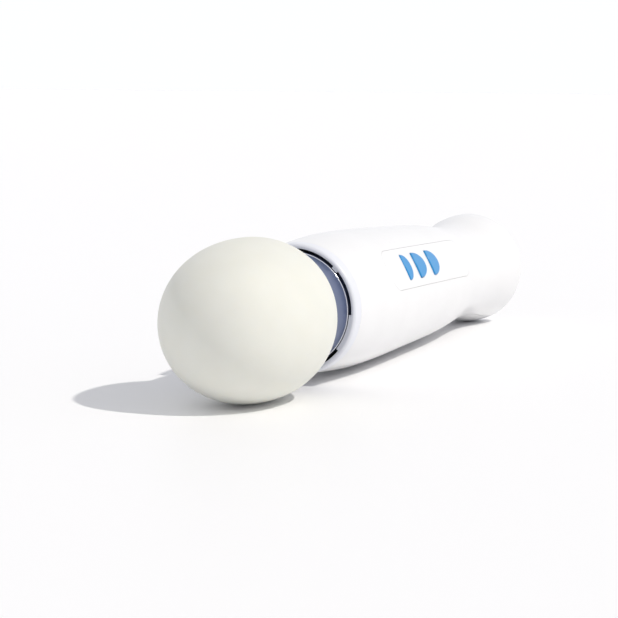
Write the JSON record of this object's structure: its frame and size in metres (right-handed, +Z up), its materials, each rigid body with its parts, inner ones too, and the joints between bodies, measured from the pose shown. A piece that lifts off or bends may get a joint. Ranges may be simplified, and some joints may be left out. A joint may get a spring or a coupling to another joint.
{
  "type": "handheld wand massager",
  "caption": "Cordless handheld wand massager: round silicone head on a swivelling neck, slotted collar, tapered white handle with oval blue buttons and a flared tail.",
  "frame": {"origin": "on the floor, under the middle of the bounding box, with the wand lying on its head and its tail rim", "axes": "+X from the head to the tail, +Z up, the buttons facing up at an angle on the -Y side"},
  "size_m": [0.2452, 0.05, 0.05],
  "materials": {
    "silicone": "matte off-white silicone",
    "white_shell": "glossy white ABS",
    "collar_grey": "satin light grey ABS",
    "neck_grey": "satin blue-grey",
    "button_blue": "satin sky blue ABS",
    "core_white": "moulded nylon",
    "black_plastic": "moulded acetal",
    "dark_rubber": "moulded rubber",
    "steel": "turned steel",
    "chrome_steel": "ground bearing steel",
    "zinc_weight": "sintered steel",
    "copper": "copper",
    "bronze": "sintered bronze",
    "magnet": "ferrite",
    "board_green": "solder-masked board",
    "battery_blue": "shrink sleeve over steel",
    "nickel": "nickel strip",
    "foam": "closed-cell foam",
    "wire_red": "insulated wire"
  },
  "bodies": {
    "head": {"head_cover": "silicone", "head_core_front": "core_white", "head_core_rear": "core_white", "head_screws": "steel", "head_bearing_outer_rings": "chrome_steel", "neck_tube": "black_plastic", "neck_sleeve": "neck_grey", "neck_screws": "steel"},
    "eccentric": {"eccentric_shaft": "steel", "eccentric_weight": "zinc_weight", "head_bearing_inner_rings": "chrome_steel", "head_bearing_balls": "chrome_steel"},
    "neck_ring": {"neck_seat": "dark_rubber"},
    "handle": {"front_shell": "white_shell", "rear_shell": "white_shell", "collar_ring": "collar_grey", "socket_front": "black_plastic", "socket_rear": "black_plastic", "socket_clip": "steel", "shell_screws": "steel", "button_panel": "white_shell", "switch_bodies": "black_plastic", "control_board": "board_green", "microcontroller": "black_plastic", "capacitors": "steel", "battery_cell": "battery_blue", "battery_terminals": "nickel", "foam_pads": "foam", "battery_cradle": "black_plastic", "motor_can": "steel", "motor_end_cap": "black_plastic", "motor_bushings": "bronze", "motor_magnets": "magnet", "motor_mounts": "dark_rubber", "tail_cap": "white_shell", "charging_socket": "black_plastic", "socket_pin": "nickel", "motor_leads": "wire_red", "battery_leads": "wire_red", "socket_leads": "wire_red"},
    "rotor": {"motor_shaft": "steel", "armature": "copper", "commutator": "copper", "drive_coupling": "dark_rubber"},
    "front_button": {"button_front": "button_blue", "switch_plunger_front": "core_white"},
    "middle_button": {"button_middle": "button_blue", "switch_plunger_middle": "core_white"},
    "rear_button": {"button_rear": "button_blue", "switch_plunger_rear": "core_white"}
  },
  "joints": [
    {"name": "neck_bend", "type": "hinge", "parent": "handle", "child": "neck_ring", "pos_m": [-0.05485, 0, 0.02433], "axis": [0, 1, 0], "range_deg": [-6, 6], "stiffness_Nm_per_rad": 3, "deforming": ["drive_coupling"]},
    {"name": "neck_sway", "type": "hinge", "parent": "neck_ring", "child": "head", "pos_m": [-0.05485, 0, 0.02433], "axis": [0.0198, 0, 0.9998], "range_deg": [-6, 6], "stiffness_Nm_per_rad": 3, "deforming": ["drive_coupling"]},
    {"name": "motor_spin", "type": "hinge", "parent": "handle", "child": "rotor", "pos_m": [-0.03865, 0, 0.024], "axis": [0.9998, 0, -0.0198], "continuous": true},
    {"name": "eccentric_spin", "type": "hinge", "parent": "head", "child": "eccentric", "pos_m": [-0.08934, 0, 0.02501], "axis": [0.9998, 0, -0.0198], "continuous": true},
    {"name": "front_button_press", "type": "slide", "parent": "handle", "child": "front_button", "axis": [-0.0093, 0.8829, -0.4694], "range_m": [0, 0.0007], "stiffness_N_per_m": 800, "springref_m": -0.001},
    {"name": "middle_button_press", "type": "slide", "parent": "handle", "child": "middle_button", "axis": [-0.0093, 0.8829, -0.4694], "range_m": [0, 0.0007], "stiffness_N_per_m": 800, "springref_m": -0.001},
    {"name": "rear_button_press", "type": "slide", "parent": "handle", "child": "rear_button", "axis": [-0.0093, 0.8829, -0.4694], "range_m": [0, 0.0007], "stiffness_N_per_m": 800, "springref_m": -0.001}
  ],
  "couplings": [
    {"joint": "eccentric_spin", "follows": "motor_spin", "ratio": 1}
  ]
}
